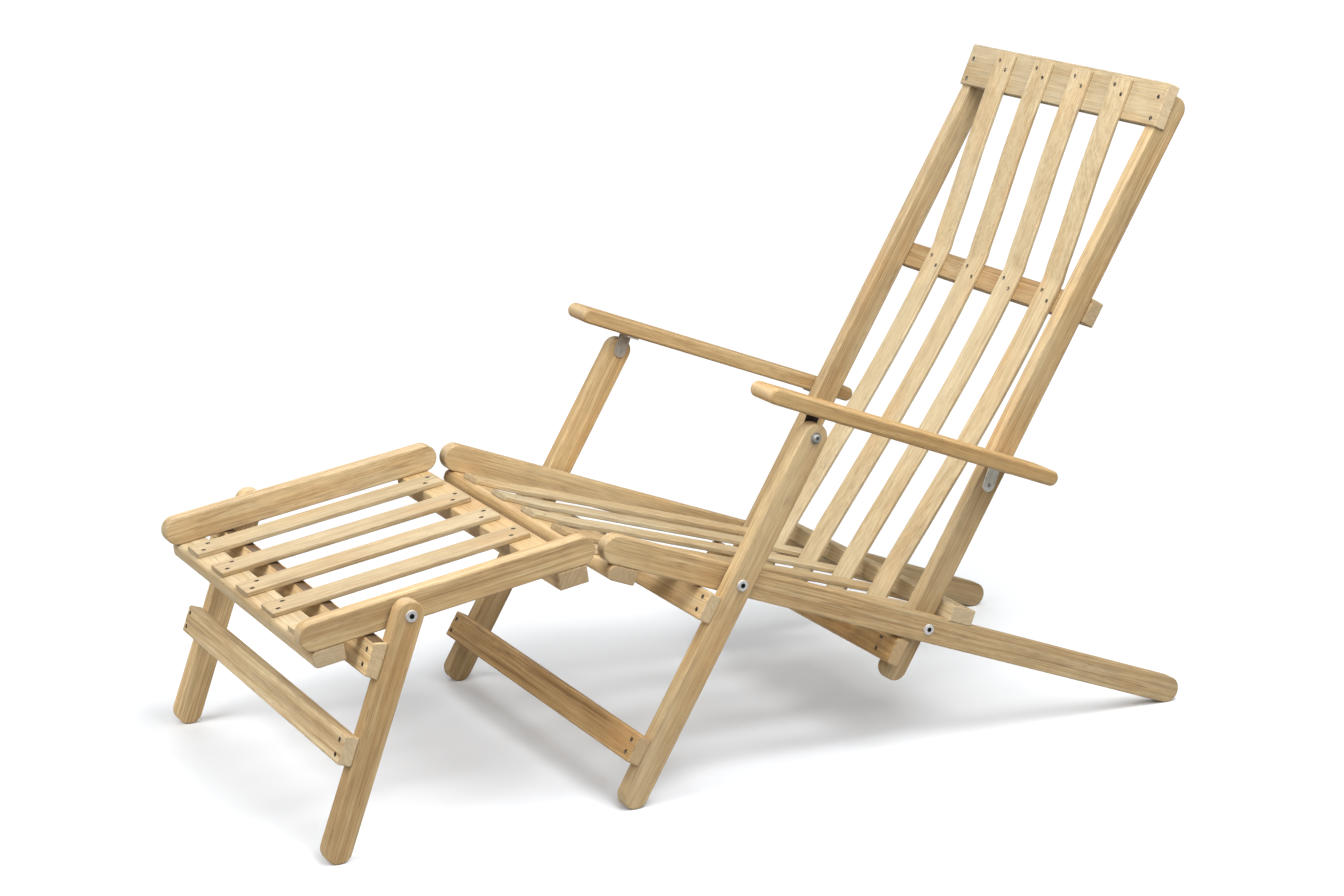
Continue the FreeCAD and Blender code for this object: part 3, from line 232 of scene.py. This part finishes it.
    calm = n.ramp(n.noise(n.vmath("MULTIPLY", P, (34.0, 2.6, 34.0)), 1.0, 2.0, 0.5), 0.36, 0.64, 0.15, 1.0)
    col = n.mix(n.math("MULTIPLY", calm, min(0.45 + 0.5 * figure, 1.0)), col,
                n.mix(1.0, col, n.combine(n.math("POWER", hb, 0.8), hb, n.math("POWER", hb, 1.35)), "MULTIPLY"))
    if figure > 1.5:
        # dark red-brown lines of a strongly figured bar
        deep = n.noise(n.vmath("MULTIPLY", P2, (170.0, 3.0, 170.0)), 1.0, 2.0, 0.55)
        spots = n.ramp(n.noise(n.vmath("MULTIPLY", P, (24.0, 3.4, 24.0)), 1.0, 1.0, 0.5), 0.40, 0.60, 0.15, 1.0)
        col = n.mix(n.math("MULTIPLY", n.math("MULTIPLY", n.ramp(deep, 0.53, 0.62), spots), 0.62), col, shade(DARK, tone * 0.62, warm + 1.0))
    # broad warm and pale patches that cross the grain lines
    tint = n.noise(n.vmath("MULTIPLY", P, (15.0, 5.5, 15.0)), 1.0, 2.0, 0.5)
    col = n.mix(n.ramp(tint, 0.50, 0.72, 0.0, 0.40), col, n.mix(1.0, col, (1.07, 0.90, 0.72), "MULTIPLY"))
    col = n.mix(n.ramp(tint, 0.28, 0.50, 0.45, 0.0), col, n.mix(1.0, col, (1.05, 1.07, 1.08), "MULTIPLY"))
    col = n.mix(n.math("MULTIPLY", pore_mask, 0.44), col, shade(PORE, tone, warm))

    # end grain: greyer and duller, with soft rings and rays
    nv = n.mapping(tc.outputs["Normal"], rot=rot, kind="NORMAL")
    end = n.ramp(n.math("ABSOLUTE", n.split(nv)[1]), 0.66, 0.90)
    dots = n.ramp(n.noise(n.vmath("MULTIPLY", P, (1300.0, 40.0, 1300.0)), 1.0, 1.0, 0.5), 0.52, 0.72)
    blot = n.noise(n.vmath("MULTIPLY", P, (75.0, 20.0, 75.0)), 1.0, 2.0, 0.5)
    et = tone * end_tone
    tilt = rnd.uniform(0.4, 1.2)
    slant = n.mapping(P2, rot=(0.0, tilt, 0.0))
    rays = n.noise(n.vmath("MULTIPLY", slant, (520.0, 20.0, 70.0)), 1.0, 3.0, 0.6)
    pale_end, dark_end = shade(END, et, warm * 0.5), shade(END_DARK, et, warm * 0.5)
    ecol = n.mix(n.ramp(n.math("MULTIPLY_ADD", bands, 0.4, n.math("MULTIPLY", rays, 0.6)), 0.36, 0.64), dark_end, pale_end)
    ecol = n.mix(n.math("MULTIPLY", n.ramp(blot, 0.42, 0.66), 0.35), ecol, dark_end)
    ecol = n.mix(n.math("MULTIPLY", late, 0.16), ecol, shade(DARK, et, warm))
    ecol = n.mix(n.math("MULTIPLY", dots, 0.20), ecol, shade(PORE, tone, warm))
    col = n.mix(n.math("MULTIPLY", end, end_mix), col, ecol)

    # edges that have picked up a little dirt
    ax, ay, az = (n.math("ABSOLUTE", c) for c in n.split(Q))
    if kind == "slot":
        reach = n.math("MAXIMUM", n.math("SUBTRACT", ay, half.y - half.z), 0.0)
        az = n.math("SQRT", n.math("ADD", n.math("MULTIPLY", reach, reach), n.math("MULTIPLY", az, az)))
    ex = n.ramp(ax, half.x - 0.0030, half.x - 0.0006)
    ez = n.ramp(az, half.z - 0.0030, half.z - 0.0006)
    if kind == "box":
        ey = n.ramp(ay, half.y - 0.0030, half.y - 0.0006)
        edge = n.math("MAXIMUM", n.math("MULTIPLY", ex, ez), n.math("MULTIPLY", ey, n.math("MAXIMUM", ex, ez)))
    elif kind == "slot":
        edge = n.math("MULTIPLY", ex, ez)
    else:
        ey = n.ramp(ay, half.y - 0.0020, half.y - 0.0003)
        edge = n.math("MULTIPLY", n.ramp(ax, half.x - 0.0012, half.x - 0.0002), 0.35)
        edge = n.math("MAXIMUM", edge, n.math("MULTIPLY", ey, 0.5))
    worn = n.noise(n.vmath("MULTIPLY", P, (170.0, 30.0, 170.0)), 1.0, 3.0, 0.6)
    edge = n.math("MULTIPLY", edge, n.ramp(worn, 0.42, 0.66, 0.05, 0.42))
    col = n.mix(edge, col, shade(GRIME, tone, warm))

    # painted shade: the walls of the sunk screw holes are darkened as shade in the recess
    if kind == "box" and name[5:] not in ROUND_NOSED:
        dx, dy, dz = (n.math("SUBTRACT", half[k], n.math("ABSOLUTE", n.split(Q)[k])) for k in range(3))
        hole_shade = n.math("MULTIPLY", n.ramp(n.math("MINIMUM", dx, dz), 0.0001, 0.0004),
                      n.ramp(n.math("MAXIMUM", dx, dz), 0.0024, 0.0030))
        hole_shade = n.math("MULTIPLY", hole_shade, n.ramp(dy, 0.0024, 0.0030))
        col = n.mix(n.math("MULTIPLY", hole_shade, 0.88), col, (0.060, 0.028, 0.014))

    # painted shade: darker towards the floor, where less light reaches the lower parts
    floor_shade = n.ramp(n.split(tc.outputs["Object"])[2], 0.0, 0.40, FLOOR_SHADE.get(name[5:], 0.80), 1.03)
    if kind == "slot":
        col = n.mix(1.0, col, n.combine(floor_shade, floor_shade, floor_shade), "MULTIPLY")

    if knot_mask is not None:
        col = n.mix(n.math("MULTIPLY", knot_mask, 0.90), col, (0.045, 0.028, 0.018))
    n.link(col, bsdf.inputs["Base Color"])

    rough = n.math("MULTIPLY_ADD", fibre, 0.16, 0.46)
    rough = n.math("ADD", rough, n.math("MULTIPLY", end, 0.18))
    n.link(rough, bsdf.inputs["Roughness"])
    bsdf.inputs["Specular IOR Level"].default_value = 0.36

    h = n.math("MULTIPLY_ADD", fibre, 0.45, n.math("MULTIPLY", streak, 0.30))
    h = n.math("SUBTRACT", h, n.math("MULTIPLY", pore_mask, 0.55))
    h = n.math("SUBTRACT", h, n.math("MULTIPLY", n.math("MULTIPLY", dots, end), 0.3))
    b = nt.nodes.new("ShaderNodeBump")
    b.inputs["Strength"].default_value = 0.55
    b.inputs["Distance"].default_value = 0.00022
    n.link(h, b.inputs["Height"])
    n.link(b.outputs[0], bsdf.inputs["Normal"])
    return m


# ------------------------------------------------------------------ metal
def steel(name, base, rough, metal=1.0, streak=(900.0, 900.0, 30.0), stain_and_shade=0.12, bump=0.12, slope=0.0, sockets=(),
          pit=(0.60, 0.78), socket_shade=(0.012, 0.012, 0.013), shadow_stretch=None):
    """Worn steel.

    sockets: (y, z, radius, from, to) of the wells in bolt heads that are painted dark as shade in
    the recess, in metres, with the range of distance from the middle plane in which the head lies;
    dim: (y from, y to, dark colour, share) of a stretch painted dark as shadow. stain: share of
    the dark spots, which on the screw heads are painted shade of the sunk holes.
    """
    m, nt, bsdf = new_mat(name)
    n = N(nt)
    tc = nt.nodes.new("ShaderNodeTexCoord")
    P = n.mapping(tc.outputs["Object"], rot=(-math.radians(slope), 0, 0))
    lines = n.noise(n.vmath("MULTIPLY", P, streak), 1.0, 3.0, 0.65)
    cloud = n.noise(n.vmath("MULTIPLY", P, (140.0, 140.0, 140.0)), 1.0, 3.0, 0.6)
    spots = n.ramp(n.noise(n.vmath("MULTIPLY", P, (480.0, 480.0, 480.0)), 1.0, 1.0, 0.5), pit[0], pit[1])
    f = n.ramp(n.math("MULTIPLY_ADD", lines, 0.5, n.math("MULTIPLY", cloud, 0.5)), 0.3, 0.7)
    col = n.mix(f, tuple(v * 0.74 for v in base), base)
    # dark spots: real staining on most parts; on the screw heads they are painted shade of the sunk holes
    col = n.mix(n.math("MULTIPLY", spots, stain_and_shade), col, (0.045, 0.035, 0.028))
    ox, oy, oz = n.split(tc.outputs["Object"])
    # painted shadow: a stretch along the piece darkened where shadow falls on it
    if shadow_stretch:
        col = n.mix(n.ramp(oy, shadow_stretch[0], shadow_stretch[1], shadow_stretch[3], 0.0), col, shadow_stretch[2])
    # painted shade: the wells in the bolt heads are darkened as shade in the recess
    for (y, z, rad, xa, xb) in sockets:
        d = n.vmath("LENGTH", n.vmath("MULTIPLY", n.vmath("SUBTRACT", tc.outputs["Object"], (0.0, y, z)), (0.0, 1.0, 1.0)))
        side = n.math("ABSOLUTE", ox)
        head = n.math("MULTIPLY", n.ramp(side, xa - 0.001, xa), n.ramp(side, xb, xb + 0.001, 1.0, 0.0))
        col = n.mix(n.math("MULTIPLY", head, n.ramp(d, rad * 0.93, rad * 1.04, 1.0, 0.0)), col, socket_shade)
    n.link(col, bsdf.inputs["Base Color"])
    bsdf.inputs["Metallic"].default_value = metal
    r = n.math("MULTIPLY_ADD", lines, 0.18, rough - 0.09)
    r = n.math("ADD", r, n.math("MULTIPLY", spots, 0.15))
    n.link(r, bsdf.inputs["Roughness"])
    b = nt.nodes.new("ShaderNodeBump")
    b.inputs["Strength"].default_value = bump
    b.inputs["Distance"].default_value = 0.0001
    n.link(lines, b.inputs["Height"])
    n.link(b.outputs[0], bsdf.inputs["Normal"])
    return m


# ------------------------------------------------------------------ which wood each piece is cut from
SEAT, LEG, BACK, FOOT, FLEG = -19.99, 60.56, 60.56, 9.64, 71.44
# node: (kind, slope, across, seed, tone, warmth, figure, end tone, dark lines)
WOODS = {
    "footrest_rail_left": ("slot", FOOT, False, 11, 1.04, 0.8, 1.15, 1.15, 0.45),
    "footrest_rail_right": ("slot", FOOT, False, 12, 1.07, 0.3, 1.1, 1.15, 0.55),
    "footrest_front_crossbar": ("box", FOOT, True, 13, 1.00, -0.1, 0.8, 1.15, 0.35),
    "footrest_rear_crossbar": ("box", FOOT, True, 14, 0.93, 1.4, 0.7, 0.95, 0.35),
    "footrest_leg_left": ("slot", FLEG, False, 15, 0.96, 1.3, 1.15, 1.15, 0.7),
    "footrest_leg_right": ("slot", FLEG, False, 16, 1.20, 0.8, 1.2, 1.15, 0.8),
    "footrest_leg_upper_crossbar": ("box", FLEG, True, 17, 1.28, 0.9, 0.7, 1.0, 0.3),
    "footrest_leg_lower_crossbar": ("box", FLEG, True, 18, 1.26, -0.1, 1.4, 1.0, 0.9),
    "seat_rail_left": ("slot", SEAT, False, 21, 1.01, 0.9, 1.15, 1.15, 0.5),
    "seat_rail_right": ("slot", SEAT, False, 22, 1.02, 0.6, 1.0, 1.15, 0.5),
    "seat_front_crossbar": ("box", SEAT, True, 23, 0.93, 1.3, 0.8, 1.0, 0.3),
    "seat_rear_crossbar": ("box", SEAT, True, 24, 1.04, -0.1, 0.7, 1.15, 0.3),
    "front_leg_left": ("slot", LEG, False, 31, 1.02, 0.7, 0.6, 1.15, 0.25),
    "front_leg_right": ("slot", LEG, False, 32, 0.99, 1.3, 1.0, 1.15, 0.4),
    "front_leg_upper_crossbar": ("box", LEG, True, 33, 1.22, 0.4, 1.1, 1.0, 0.6),
    "front_leg_lower_crossbar": ("box", LEG, True, 34, 0.95, 1.6, 2.0, 1.05, 1.0),
    "back_stile_left": ("slot", BACK, False, 41, 0.96, 0.7, 1.0, 1.15, 0.7),
    "back_stile_right": ("slot", BACK, False, 42, 0.89, 0.4, 1.1, 1.15, 0.7),
    "back_top_crossbar": ("box", BACK + 7.5, True, 43, 0.87, -0.2, 0.6, 1.85, 0.35),
    "back_middle_crossbar": ("box", BACK, True, 44, 0.75, 1.1, 1.4, 1.45, 0.7),
    "back_lower_crossbar": ("box", BACK, True, 45, 0.86, 2.1, 1.3, 1.15, 0.8),
    "armrest_left": ("slot", SEAT, False, 51, 0.86, 2.0, 0.9, 1.45, 0.7),
    "armrest_right": ("slot", SEAT, False, 52, 0.85, 1.4, 0.9, 1.45, 0.7),
    "footrest_slat_1": ("box", FOOT, False, 61, 0.96, -0.4, 0.7, 1.10, 0.25),
    "footrest_slat_2": ("box", FOOT, False, 62, 0.85, 0.4, 0.7, 1.10, 0.25),
    "footrest_slat_3": ("box", FOOT, False, 63, 0.90, 0.2, 0.7, 1.10, 0.25),
    "footrest_slat_4": ("box", FOOT, False, 64, 0.82, 0.5, 0.7, 1.10, 0.25),
    "footrest_slat_5": ("box", FOOT, False, 65, 1.00, 0.1, 0.7, 1.10, 0.25),
    "seat_slat_1": ("bent", SEAT, False, 71, 0.98, 0.1, 0.7, 1.10, 0.25),
    "seat_slat_2": ("bent", SEAT, False, 72, 0.97, -0.4, 0.7, 1.10, 0.25),
    "seat_slat_3": ("bent", SEAT, False, 73, 1.00, -0.4, 0.7, 1.10, 0.25),
    "seat_slat_4": ("bent", SEAT, False, 74, 0.81, 0.8, 0.7, 1.10, 0.25),
    "seat_slat_5": ("bent", SEAT, False, 75, 1.03, 0.1, 0.7, 1.10, 0.25),
    "back_slat_1": ("bent", BACK, False, 81, 1.03, -0.3, 0.6, 1.10, 0.25),
    "back_slat_2": ("bent", BACK, False, 82, 0.95, 0.1, 0.6, 1.10, 0.25),
    "back_slat_3": ("bent", BACK, False, 83, 1.01, -0.2, 0.6, 1.10, 0.25),
    "back_slat_4": ("bent", BACK, False, 84, 0.98, -0.0, 0.6, 1.10, 0.25),
}
ROUND_NOSED = ("footrest_front_crossbar", "seat_front_crossbar", "back_lower_crossbar")
# per-piece strength of the painted shade towards the floor
FLOOR_SHADE = {"footrest_leg_right": 1.10}
KNOTS = {"front_leg_left": [((0.2945, -0.2480, 0.0275), 0.0030)]}

for name, (kind, slope, across, seed, tone, warm, figure, end_tone, lines) in WOODS.items():
    end_mix = 0.35 if "_slat_" in name else 0.86
    m = wood("wood_" + name, kind, slope, across, seed, tone, warm, figure, end_tone, lines, end_mix, KNOTS.get(name, ()))
    for s in nodes[name].material_slots:
        s.material = m

LEG_PIVOT = (-0.07926, 0.29882)
FOOT_PIVOT = (-0.56726, 0.32403)
BACK_PIVOT = (LEG_PIVOT[0] + 0.3477 * math.cos(math.radians(SEAT)), LEG_PIVOT[1] + 0.3477 * math.sin(math.radians(SEAT)))
ARM_FRONT = (LEG_PIVOT[0] + 0.2241 * math.cos(math.radians(LEG)), LEG_PIVOT[1] + 0.2241 * math.sin(math.radians(LEG)))
ARM_REAR = (BACK_PIVOT[0] + 0.2241 * math.cos(math.radians(BACK)), BACK_PIVOT[1] + 0.2241 * math.sin(math.radians(BACK)))
GREY = (0.74, 0.725, 0.71)
METALS = {
    "leg_pivot_bolts": steel("bolt_leg_pivot", GREY, 0.46, 0.45, stain_and_shade=0.22, sockets=[(*LEG_PIVOT, 0.0036, 0.1, 0.5)]),
    "back_pivot_bolts": steel("bolt_back_pivot", GREY, 0.46, 0.40, stain_and_shade=0.22, sockets=[(*BACK_PIVOT, 0.0036, 0.1, 0.5)]),
    "footrest_pivot_bolts": steel("bolt_footrest_pivot", GREY, 0.46, 0.50, stain_and_shade=0.22,
                                  sockets=[(*FOOT_PIVOT, 0.0036, 0.1, 0.5)]),
    "arm_bolts": steel("bolt_arm", (0.66, 0.66, 0.63), 0.34, 0.72, stain_and_shade=0.35, socket_shade=(0.10, 0.10, 0.095),
                       sockets=[(*ARM_FRONT, 0.0022, 0.290, 0.50), (*ARM_REAR, 0.0022, 0.0, 0.236)]),
    # screw heads: the dark spots are painted shade of the sunk screw holes
    "screws": steel("screw_zinc", (0.64, 0.60, 0.54), 0.28, 0.75, stain_and_shade=0.98, pit=(0.44, 0.52)),
    # the near brackets get a much paler, less metallic base than the far ones as painted light, and the front one a
    # stretch painted dark as shadow
    "arm_brackets_left": steel("bracket_brushed_left_painted_light_and_shadow", (0.85, 0.86, 0.78), 0.50, 0.10, streak=(500.0, 500.0, 60.0),
                               stain_and_shade=0.24, slope=-20.0, shadow_stretch=(0.10, 0.20, (0.020, 0.014, 0.010), 0.92)),
    "arm_brackets_right": steel("bracket_brushed_right", (0.48, 0.44, 0.385), 0.50, 0.22, streak=(500.0, 500.0, 60.0),
                                stain_and_shade=0.26, slope=-20.0),
    "hinge": steel("hinge_zinc", (0.50, 0.49, 0.47), 0.40, 0.9, streak=(40.0, 700.0, 700.0), stain_and_shade=0.18),
    "washers": steel("washer_grey", (0.42, 0.40, 0.36), 0.44, 0.5, stain_and_shade=0.35),
    "spacers": steel("spacer_grey", (0.34, 0.34, 0.34), 0.44, 0.8, stain_and_shade=0.20),
}
for name, o in nodes.items():
    if name in WOODS:
        continue
    if "screws" in name:
        m = METALS["screws"]
    elif name in METALS:
        m = METALS[name]
    else:
        m = next(v for k, v in METALS.items() if k in name)
    for s in o.material_slots:
        s.material = m

# ------------------------------------------------------------------ floor
me = bpy.data.meshes.new("floor")
ring = [(2.9 * math.cos(math.radians(k)), 2.9 * math.sin(math.radians(k)), 0.0) for k in range(0, 360, 4)]
me.from_pydata(ring, [], [tuple(range(len(ring)))])
floor = bpy.data.objects.new("floor", me)
bpy.context.scene.collection.objects.link(floor)
fm, fnt, fb = new_mat("studio_floor")
fn = N(fnt)
ftc = fnt.nodes.new("ShaderNodeTexCoord")
fcloud = fn.noise(fn.vmath("MULTIPLY", ftc.outputs["Object"], (0.7, 0.7, 0.7)), 1.0, 2.0, 0.5)
seen = fn.mix(fcloud, (0.880, 0.893, 0.908), (0.895, 0.908, 0.923))
# painted shadow: a cooler, darker floor tone painted beneath the middle of the chair
shadow_reach = fn.vmath("LENGTH", fn.vmath("MULTIPLY", fn.vmath("ADD", ftc.outputs["Object"], (-0.06, 0.16, 0.0)), (1.75, 1.25, 1.0)))
seen = fn.mix(fn.ramp(shadow_reach, 0.20, 1.15, 1.0, 0.0), seen, (0.790, 0.818, 0.858))
flp = fnt.nodes.new("ShaderNodeLightPath")
fn.link(fn.mix(flp.outputs["Is Camera Ray"], (0.600, 0.603, 0.608), seen), fb.inputs["Base Color"])
fb.inputs["Roughness"].default_value = 0.6
fb.inputs["Specular IOR Level"].default_value = 0.1
# the floor fades into the white surround away from the chair
away = fn.vmath("LENGTH", fn.vmath("MULTIPLY", ftc.outputs["Object"], (1.25, 0.85, 1.0)))
fade = fn.ramp(away, 0.82, 1.45)
fmix = fnt.nodes.new("ShaderNodeMixShader")
ftr = fnt.nodes.new("ShaderNodeBsdfTransparent")
fout = next(k for k in fnt.nodes if k.type == "OUTPUT_MATERIAL")
fn.link(fade, fmix.inputs[0])
fn.link(fb.outputs[0], fmix.inputs[1])
fn.link(ftr.outputs[0], fmix.inputs[2])
fn.link(fmix.outputs[0], fout.inputs[0])
me.materials.append(fm)

# ------------------------------------------------------------------ light
world = bpy.data.worlds.new("studio")
bpy.context.scene.world = world
world.use_nodes = True
wn = world.node_tree
wn.nodes.clear()
wout = wn.nodes.new("ShaderNodeOutputWorld")
wmix = wn.nodes.new("ShaderNodeMixShader")
wlp = wn.nodes.new("ShaderNodeLightPath")
wb1 = wn.nodes.new("ShaderNodeBackground")
wb2 = wn.nodes.new("ShaderNodeBackground")
wb1.inputs[0].default_value = (0.62, 0.82, 1.0, 1.0)
wb1.inputs[1].default_value = 0.045
wb2.inputs[0].default_value = (1.0, 1.0, 1.0, 1.0)
wb2.inputs[1].default_value = 1.05
wn.links.new(wlp.outputs["Is Camera Ray"], wmix.inputs[0])
wn.links.new(wb1.outputs[0], wmix.inputs[1])
wn.links.new(wb2.outputs[0], wmix.inputs[2])
wn.links.new(wmix.outputs[0], wout.inputs[0])


def softbox(name, place, target, size, power, color=(1, 1, 1)):
    li = bpy.data.lights.new(name, "AREA")
    li.shape = "SQUARE"
    li.size = size
    li.energy = power
    li.color = color
    o = bpy.data.objects.new(name, li)
    bpy.context.scene.collection.objects.link(o)
    o.location = place
    o.visible_camera = False
    o.rotation_mode = "QUATERNION"
    o.rotation_quaternion = (Vector(target) - Vector(place)).to_track_quat("-Z", "Y")
    return o


MIDDLE = (0.0, 0.0, 0.35)
softbox("front", (0.1, -3.0, 2.2), MIDDLE, 2.0, 92.0)
softbox("side_near", (2.5, -0.6, 2.4), MIDDLE, 2.0, 57.0)
softbox("side_far", (-2.8, 0.0, 2.2), MIDDLE, 2.0, 33.0)
softbox("back_near", (2.2, 2.2, 2.4), MIDDLE, 2.0, 18.0)
softbox("back", (0.0, 3.0, 2.6), MIDDLE, 2.0, 34.0)
softbox("top", (0.9, 0.25, 2.7), (0.1, 0.0, 0.3), 1.6, 66.0)

# ------------------------------------------------------------------ camera
yaw, pitch, roll = math.radians(151.508), math.radians(-14.7941), math.radians(0.9238)
fw = Vector((math.cos(pitch) * math.cos(yaw), math.cos(pitch) * math.sin(yaw), math.sin(pitch)))
right = Vector((math.sin(yaw), -math.cos(yaw), 0.0))
up = right.cross(fw)
cr = math.cos(roll) * right + math.sin(roll) * up
cu = -math.sin(roll) * right + math.cos(roll) * up
cam_data = bpy.data.cameras.new("camera")
cam_data.lens = 77.11
cam_data.sensor_width = 36.0
cam_data.clip_start, cam_data.clip_end = 0.1, 200.0
cam = bpy.data.objects.new("camera", cam_data)
bpy.context.scene.collection.objects.link(cam)
cam.matrix_world = Matrix((
    (cr.x, cu.x, -fw.x, 3.5425),
    (cr.y, cu.y, -fw.y, -1.94986),
    (cr.z, cu.z, -fw.z, 1.47818),
    (0, 0, 0, 1)))
bpy.context.scene.camera = cam
bpy.context.scene.view_settings.view_transform = "Standard"
bpy.context.scene.view_settings.look = "None"
